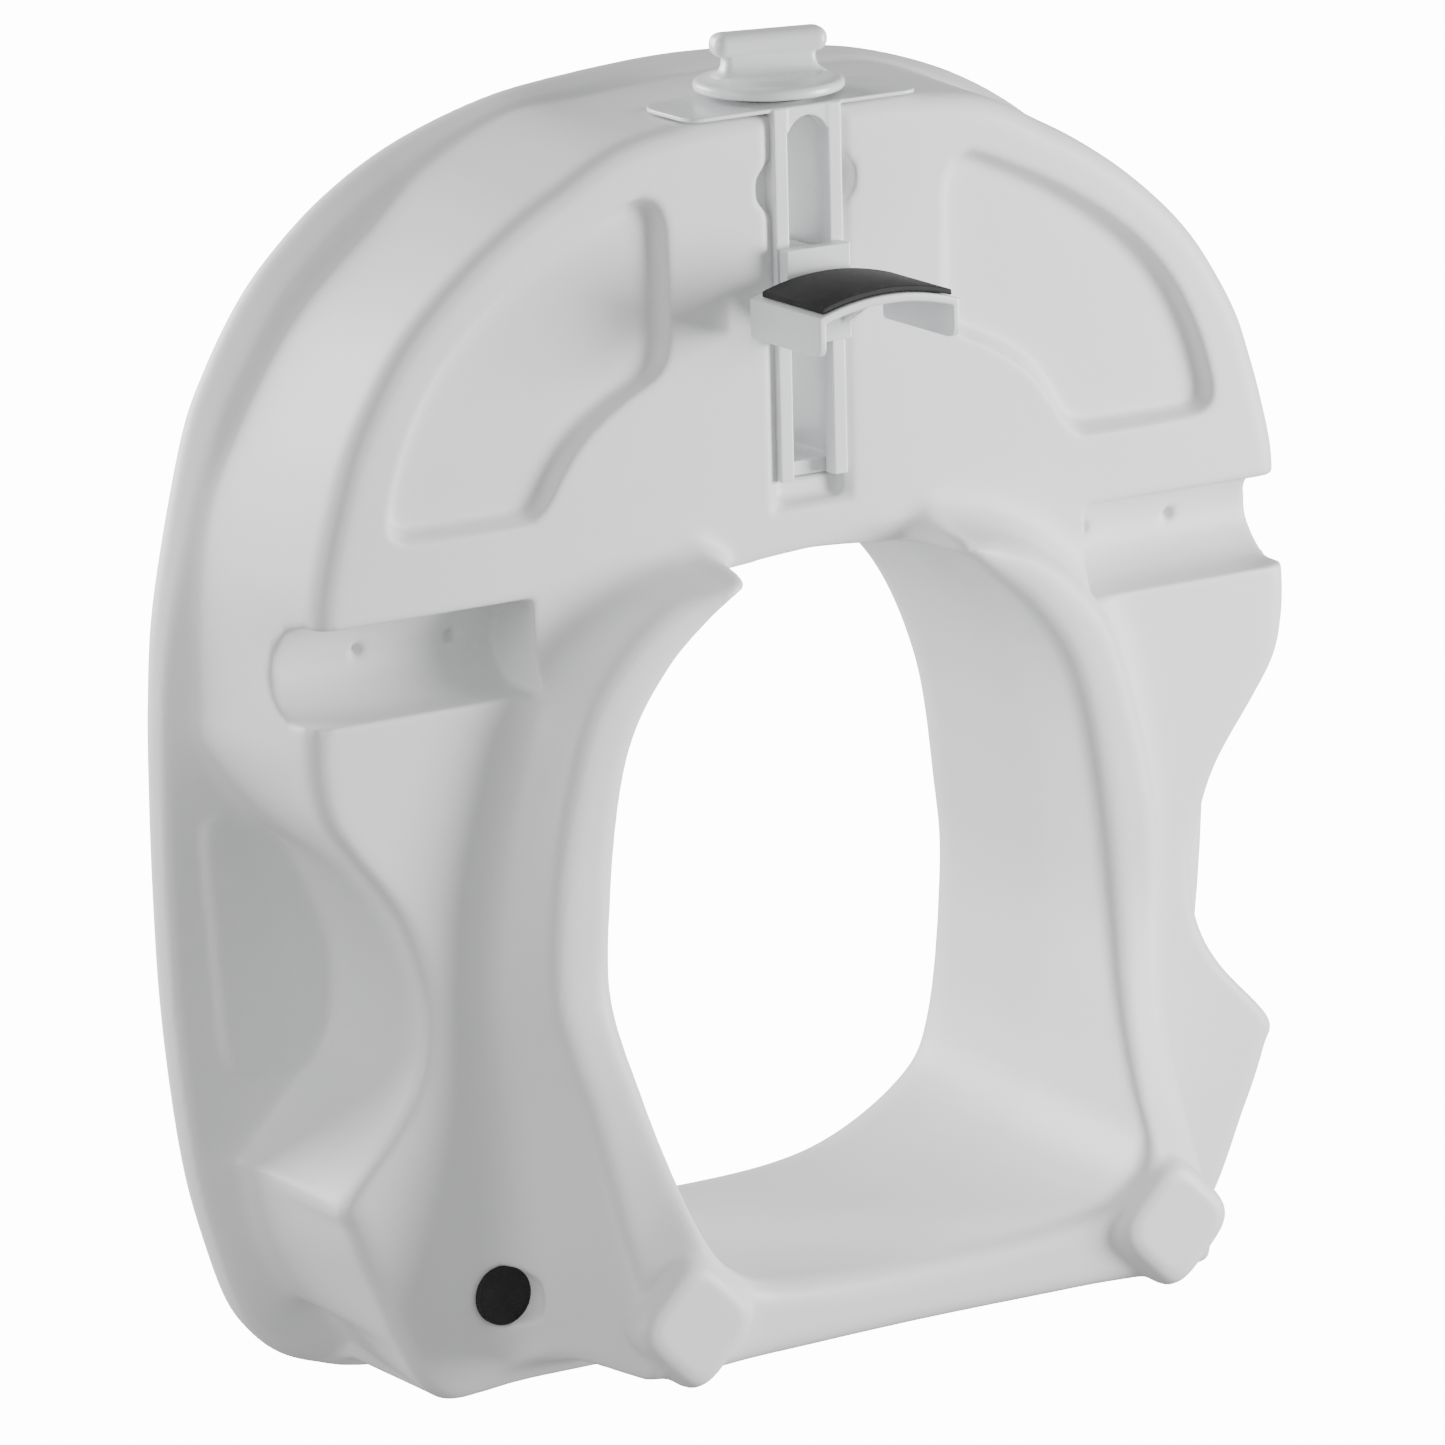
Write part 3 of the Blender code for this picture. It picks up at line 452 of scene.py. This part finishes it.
PAD_HALF, PAD_THICK, PAD_INSET = 25.0, 2.0, (4.4, 1.4)


def build_frame():
    """Front plate, twin rails with their webs, the arch between them and the tail wall."""
    outline = [(-PLATE_HALF, -PLATE_UP), (PLATE_HALF, -PLATE_UP), (PLATE_HALF, PLATE_DOWN),
               (-PLATE_HALF, PLATE_DOWN)]
    outline, back = rounded(outline, PLATE_CORNERS, 8), PLATE_FRONT - SHEET
    rings = [[place(x, ahead, down) for x, down in outline] for ahead in (back, PLATE_FRONT)]
    plate = loft("guide_frame_moulding", rings, False)
    for side in (-1, 1):
        rail = sorted((side * RAIL_IN, side * RAIL_OUT))
        web = sorted((side * WEB_IN, side * (RAIL_OUT - 0.05)))
        join(plate, block("rail", rail, (RAIL_REAR, back + 1), (-RAIL_UP, RAIL_DOWN)),
             block("web", web, (RAIL_REAR + 0.1, back + 1.1), (-WEB_UP, -RAIL_UP + 0.5)))
    span, tail = RAIL_IN + 1, RAIL_OUT - 0.1
    join(plate, block("arch", (-span, span), (ARCH_AHEAD, back + 1.2), (-RAIL_UP + 0.1, RAIL_DOWN - 0.1)),
         block("tail", (-tail, tail), (RAIL_REAR, RAIL_REAR + TAIL_THICK), (0.1 - WEB_UP, -TAIL_TOP)))
    cut(plate, puck("arch_top", 0, ARCH_AHEAD - 3, (-20, 20), RAIL_IN - 0.1),
        rod("plate_bore", 0, AXIS_UP, SCREW_R + BORE_PLAY, (140, 160)),
        rod("tail_bore", 0, AXIS_UP, TAIL_BORE_R, (20, 40)))
    return moulded(plate, FINE, 4)


def build_knob():
    """Round flange with a flat neck and a rounded cross bar, turned to its rest angle."""
    rim = tuple((KNOB_R - inward, KNOB_BACK + along) for inward, along in KNOB_RIM)
    face = ((NECK_HALF + 2, KNOB_FACE + 0.1), (NECK_HALF - 4, KNOB_FACE + 0.6), (0, KNOB_FACE + 0.6))
    knob = spun("knob_moulding", ((0, KNOB_BACK),) + rim + face, 128, along_spindle())
    rings = []
    for along, grow in NECK_FLARE + ((GRIP_TOP - 3 - KNOB_FACE, 0.0),):
        wide, deep = NECK_HALF + grow, NECK_DEEP / 2 + grow
        outline = rounded([(-wide, -deep), (wide, -deep), (wide, deep), (-wide, deep)], [2.5 + grow] * 4, 6)
        rings.append([place(x, KNOB_FACE + along, down - AXIS_UP) for x, down in outline])
    neck = loft("neck", rings, False)
    depth = (-AXIS_UP - GRIP_DEEP / 2, -AXIS_UP + GRIP_DEEP / 2)
    bar = block("bar", (-GRIP_HALF, GRIP_HALF), (GRIP_TOP - GRIP_TALL, GRIP_TOP), depth)
    join(knob, neck, bevelled(bar, GRIP_SOFT, 6))
    centre = place(0, 0, -AXIS_UP)
    knob.data.transform(Matrix.Translation(centre) @ Matrix.Rotation(math.radians(KNOB_ANGLE), 4, "Y")
                        @ Matrix.Translation(-centre))
    cut(knob, rod("socket", 0, AXIS_UP, END_R + GAP, (140, SOCKET_END)))
    return moulded(knob, FINE, 5)


def build_screw():
    """Spindle: tail journal, threaded length, clip groove and the end that the knob takes."""
    tail, shoulder, groove = RAIL_REAR + 0.2, 32.0, CLIP_AHEAD - 0.3
    journal = ((0, tail), (JOURNAL_R - 0.4, tail), (JOURNAL_R, tail + 0.4), (JOURNAL_R, shoulder))
    shank = ((CORE_R, shoulder + 1), (CORE_R, groove - 4), (SCREW_R, groove - 3.5), (SCREW_R, groove))
    neck = ((CLIP_GROOVE_R, groove + 0.1), (CLIP_GROOVE_R, groove + 1.8), (SCREW_R, groove + 1.9))
    end = ((SCREW_R, KNOB_BACK - GAP), (END_R, KNOB_BACK), (END_R, SOCKET_END - GAP), (0, SOCKET_END - GAP))
    profile = journal + shank + neck + end
    screw = spun("clamp_spindle", profile, 64, along_spindle())
    ridge = ((CORE_R - 0.6, -1.4), (SCREW_R, -0.6), (SCREW_R, 0.6), (CORE_R - 0.6, 1.4), (CORE_R - 0.6, -1.4))
    start = shoulder + 4
    turns = int((groove - 6 - start) / LEAD)
    join(screw, spun("thread", ridge, 32, along_spindle(start), LEAD, turns))
    return smooth(screw, 30)


def arched(name, half, down, low, high, bend=24):
    """Sheet that follows the arch of the jaw, between two heights above its lower face."""
    xs = np.linspace(-half, half, bend)
    arch = JAW_AHEAD + JAW_RISE * (1 - (xs / JAW_HALF) ** 2)
    outline = list(zip(xs, arch + high)) + list(zip(xs, arch + low))[::-1]
    return prism_down(name, outline, down)


def jaw_ear(side):
    """Rounded side wall under the end of the arched plate."""
    low = JAW_AHEAD - EAR_HEIGHT
    corners = [(JAW_AHEAD + 2, JAW_NEAR), (JAW_AHEAD + 2, JAW_FAR), (low, JAW_FAR), (low, JAW_NEAR)]
    outline = rounded(corners, [0.2, 0.2, EAR_SOFT, EAR_SOFT / 2], 6)
    inner = side * (JAW_HALF - EAR_THICK)
    return prism_x("ear", outline, sorted((inner, side * JAW_HALF)))


def jaw_rib(side):
    """Gusset between the arched plate and the slider."""
    outline = [(JAW_AHEAD + ahead, down) for ahead, down in RIB]
    return prism_x("rib", outline, (side * RIB_X - RIB_THICK / 2, side * RIB_X + RIB_THICK / 2))


def build_jaw():
    """Arched plate with its ears and gussets, on the slider that hooks round the rails."""
    jaw = arched("jaw_moulding", JAW_HALF, (JAW_NEAR, JAW_FAR), 0, JAW_THICK)
    for side in (-1, 1):
        join(jaw, jaw_ear(side), jaw_rib(side))
    neck, rear, front = RAIL_IN - GAP, CHEEKS[0], CHEEKS[1] + CHEEK_THICK
    join(jaw, block("slider", (-SLIDER_HALF, SLIDER_HALF), SLIDER, (RAIL_DOWN + GAP, JAW_NEAR + 0.1)),
         block("neck", (-neck, neck), (rear - 0.2, front + 0.2), (-RAIL_UP - 5, 3)),
         block("keeper", (-KEEPER_HALF, KEEPER_HALF), (rear, front), (-RAIL_UP - 4.5, -RAIL_UP - GAP)))
    for start in CHEEKS:
        run = (start, start + CHEEK_THICK)
        join(jaw, block("cheek", (-CHEEK_HALF, CHEEK_HALF), run, (-CHEEK_UP, -RAIL_UP - 1)))
    cut(jaw, rod("screw_way", 0, AXIS_UP, SCREW_R + JAW_PLAY, (60, 120)))
    return moulded(jaw, FINE, 4)


def build_pad():
    """Rubber pad that follows the arch of the jaw."""
    low = JAW_THICK + GAP
    depth = (JAW_NEAR + PAD_INSET[0], JAW_FAR - PAD_INSET[1])
    pad = arched("jaw_rubber", PAD_HALF, depth, low, low + PAD_THICK, 40)
    return smooth(bevelled(pad, 0.5))


def build_bumper(side):
    """Round rubber bumper with a softened edge."""
    bottom, top, soft = GAP - BUMPER_BACK, GAP + BUMPER_FACE, BUMPER_SOFT
    edge = ((BUMPER_R, top - soft), (BUMPER_R - soft * 0.3, top - soft * 0.3), (BUMPER_R - soft, top))
    profile = ((0, bottom), (BUMPER_R, bottom)) + edge + ((0, top),)
    name = "bumper_rubber_left" if side < 0 else "bumper_rubber_right"
    flip = Matrix.Translation(place(side * BUMPER_X, BUMPER_AHEAD, 0)) @ Matrix.Diagonal((1, 1, -1, 1))
    return smooth(spun(name, profile, 96, flip))


# ---- materials ------------------------------------------------------------------------------
class Wire:
    """Wraps a shader socket so that sums can be written as plain expressions."""

    def __init__(self, nodes, socket):
        self.nodes, self.socket = nodes, socket

    def _math(self, operation, a, b):
        return self.nodes.node("ShaderNodeMath", {"operation": operation}, {0: a, 1: b})

    def __add__(self, other):
        return self._math("ADD", self, other)

    def __radd__(self, other):
        return self._math("ADD", other, self)

    def __mul__(self, other):
        return self._math("MULTIPLY", self, other)

    __rmul__ = __mul__


class Nodes:
    """The nodes of one material or of the world."""

    def __init__(self, tree):
        self.tree = tree

    def node(self, kind, settings=(), inputs=(), output=0):
        """Add a node with its settings and inputs, and return the chosen output."""
        made = self.tree.nodes.new(kind)
        for key, value in dict(settings).items():
            setattr(made, key, value)
        self.feed(made, dict(inputs))
        return Wire(self, made.outputs[output])

    def feed(self, node, inputs):
        for key, value in inputs.items():
            if isinstance(value, Wire):
                self.tree.links.new(value.socket, node.inputs[key])
            else:
                node.inputs[key].default_value = value


class Finish(Nodes):
    """One procedural material: a shader and the nodes that vary it."""

    def __init__(self, name, **constants):
        self.material = bpy.data.materials.new(name)
        self.material.use_nodes = True
        super().__init__(self.material.node_tree)
        self.shader = self.tree.nodes["Principled BSDF"]
        self.drive(**constants)
        self.place = self.node("ShaderNodeTexCoord", output="Object")

    def drive(self, **sockets):
        """Set or link the shader's own sockets, named with underscores for spaces."""
        self.feed(self.shader, {name.replace("_", " "): value for name, value in sockets.items()})

    def noise(self, scale, detail=2.0, stretch=(1, 1, 1)):
        where = self.node("ShaderNodeMapping", inputs={"Vector": self.place, "Scale": stretch})
        return self.node("ShaderNodeTexNoise", inputs={"Vector": where, "Scale": scale, "Detail": detail})

    def ramp(self, value, low, high):
        return self.node("ShaderNodeMapRange", inputs={"Value": value, "From Min": low, "From Max": high})

    def tint(self, mask, first, second):
        """Colour between two, by a mask; 0, 6, 7 and 2 are the Mix node's colour sockets."""
        colours = {0: mask, 6: (*first, 1), 7: (*second, 1)}
        return self.node("ShaderNodeMix", {"data_type": "RGBA"}, colours, 2)

    def bump(self, height, distance, strength=1.0):
        inputs = {"Strength": strength, "Distance": distance, "Height": height}
        self.drive(Normal=self.node("ShaderNodeBump", inputs=inputs))


def moulded_white():
    """Blow-moulded polyethylene: satin, very slightly mottled, with fine grain."""
    f = Finish("moulded_white", Specular_IOR_Level=0.45)
    cloud, grain, peel = f.noise(9, 3), f.noise(900, 2), f.noise(160, 3)
    f.drive(Base_Color=f.tint(f.ramp(cloud, 0.3, 0.7), (0.78, 0.785, 0.79), (0.82, 0.825, 0.825)),
            Roughness=0.40 + 0.10 * cloud)
    f.bump(peel * 0.7 + grain * 0.3, 0.00012, 0.5)
    return f.material


def satin_white():
    """Injection-moulded clamp plastic, cooler and glossier than the body."""
    f = Finish("satin_white", Specular_IOR_Level=0.5, Coat_Weight=0.15, Coat_Roughness=0.2)
    cloud, grain = f.noise(40, 2), f.noise(1400, 2)
    f.drive(Base_Color=f.tint(f.ramp(cloud, 0.35, 0.65), (0.78, 0.79, 0.805), (0.82, 0.83, 0.84)),
            Roughness=0.24 + 0.10 * grain)
    f.bump(grain, 0.00003, 0.4)
    return f.material


def black_rubber():
    f = Finish("black_rubber", Specular_IOR_Level=0.35)
    grain, wear = f.noise(1800, 3), f.noise(90, 3)
    f.drive(Base_Color=f.tint(f.ramp(wear, 0.35, 0.75), (0.012, 0.012, 0.013), (0.030, 0.030, 0.032)),
            Roughness=0.62 + 0.2 * wear)
    f.bump(grain, 0.00010, 0.7)
    return f.material


def zinc_steel():
    f = Finish("zinc_steel", Metallic=1.0)
    streak, cloud = f.noise(700, 2, (1, 0.05, 1)), f.noise(120, 3)
    f.drive(Base_Color=f.tint(cloud, (0.55, 0.55, 0.53), (0.70, 0.69, 0.65)), Roughness=0.25 + 0.18 * streak)
    f.bump(streak, 0.00002, 0.4)
    return f.material


def acetal():
    f = Finish("acetal", Specular_IOR_Level=0.5)
    cloud, grain = f.noise(60, 2), f.noise(1500, 2)
    f.drive(Base_Color=f.tint(cloud, (0.72, 0.71, 0.67), (0.78, 0.77, 0.73)), Roughness=0.34 + 0.1 * grain)
    f.bump(grain, 0.00002, 0.4)
    return f.material


def floor_white():
    f = Finish("floor_white", Roughness=0.9)
    cloud = f.noise(0.5, 1)
    f.drive(Base_Color=f.tint(cloud, (0.88, 0.88, 0.88), (0.90, 0.90, 0.90)))
    return f.material


def dress(obj, material, body, slot, *nodes):
    """Give a piece its finish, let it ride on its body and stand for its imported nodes."""
    obj.data.materials.clear()
    obj.data.materials.append(material)
    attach(obj, body)
    if nodes:
        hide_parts(*nodes)


# ---- stage ----------------------------------------------------------------------------------
ROOM_LIGHT, BACKDROP_LIGHT = 0.42, 14.0
CAMERA_AT, CAMERA_TURN, LENS = (-1.729, SHIFT_Y - 0.7468, -2.619), (166.718, 32.493, 1.527), 249.135
FLOOR_R, FLOOR_DOWN = 9.0, 4.2                   # metres; the camera is above it and looks up


def build_camera():
    data = bpy.data.cameras.new("camera")
    data.sensor_width, data.lens = 36.0, LENS
    data.clip_start, data.clip_end = 0.1, 60.0
    camera = bpy.data.objects.new("camera", data)
    camera.location = CAMERA_AT
    camera.rotation_euler = [math.radians(a) for a in CAMERA_TURN]
    bpy.context.scene.collection.objects.link(camera)
    bpy.context.scene.camera = camera
    return camera


def softbox(name, direction, aim, distance, size, watts):
    """Round soft light that looks at the aim from a direction."""
    data = bpy.data.lights.new(name, "AREA")
    data.shape, data.size, data.energy = "DISK", size, watts
    light = bpy.data.objects.new(name, data)
    light.location = aim + direction.normalized() * distance
    light.rotation_euler = direction.to_track_quat("Z", "Y").to_euler()
    bpy.context.scene.collection.objects.link(light)
    return light


def channel_light():
    """Faint strip of light inside the clamp channel."""
    inside = place(0, 88, -36.5)
    strip = softbox("channel_glow", Vector((0, 0, -1)), inside, distance=0, size=0.012, watts=0.012)
    strip.data.shape, strip.data.size_y = "RECTANGLE", 0.110


def build_world():
    """Even room light, with a brighter white backdrop where the camera looks past the object."""
    world = bpy.data.worlds.new("studio")
    world.use_nodes = True
    studio = Nodes(world.node_tree)
    white = (1, 1, 1, 1)
    room = studio.node("ShaderNodeBackground", inputs={"Color": white, "Strength": ROOM_LIGHT})
    backdrop = studio.node("ShaderNodeBackground", inputs={"Color": white, "Strength": BACKDROP_LIGHT})
    seen = studio.node("ShaderNodeLightPath", output="Is Camera Ray")
    mix = studio.node("ShaderNodeMixShader", inputs={0: seen, 1: room, 2: backdrop})
    studio.feed(world.node_tree.nodes["World Output"], {0: mix})
    bpy.context.scene.world = world


def build_floor():
    bm = bmesh.new()
    level = Matrix.Translation((0, 0, -FLOOR_DOWN))
    bmesh.ops.create_circle(bm, cap_ends=True, segments=64, radius=FLOOR_R, matrix=level)
    floor = add_mesh("floor", bm)
    floor.data.materials.append(floor_white())


def build_stage():
    """Camera, three soft lights round the object, a strip in the channel, the world and the floor."""
    turn = build_camera().rotation_euler.to_matrix()
    right, up, back = (turn.col[k] for k in range(3))
    aim = Vector((0, 0, 0.09))
    softbox("key", right * 1.0 + up * 0.05 + back * 0.12, aim, distance=1.7, size=0.9, watts=55)
    softbox("side", right * -0.80 + up * 0.10 + back * 0.60, aim, distance=2.4, size=1.2, watts=22)
    softbox("above", Vector((-0.5, -0.3, 1.0)), aim, distance=2.4, size=1.8, watts=115)
    channel_light()
    build_world()
    build_floor()


def build_object():
    """Every piece with its finish; the washer, clip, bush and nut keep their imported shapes."""
    white, satin, rubber, zinc, plain = moulded_white(), satin_white(), black_rubber(), zinc_steel(), acetal()
    dress(build_body(), white, "seat", "shell", "seat_shell")
    dress(build_frame(), satin, "seat", "clamp_plastic", "guide_frame")
    dress(build_knob(), satin, "knob", "clamp_plastic", "clamp_knob")
    dress(build_screw(), zinc, "knob", "spindle", "clamp_screw")
    dress(build_jaw(), satin, "jaw", "clamp_plastic", "clamp_jaw")
    dress(build_pad(), rubber, "jaw", "rubber", "jaw_pad")
    for side, node in ((-1, "bumper_left"), (1, "bumper_right")):
        dress(build_bumper(side), rubber, "seat", "rubber", node)
    kept = {"thrust_washer": plain, "screw_clip": zinc, "tail_bush": plain, "travel_nut": plain}
    for node, material in kept.items():
        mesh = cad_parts[node].data
        mesh.materials.clear()
        mesh.materials.append(material)


build_stage()
build_object()
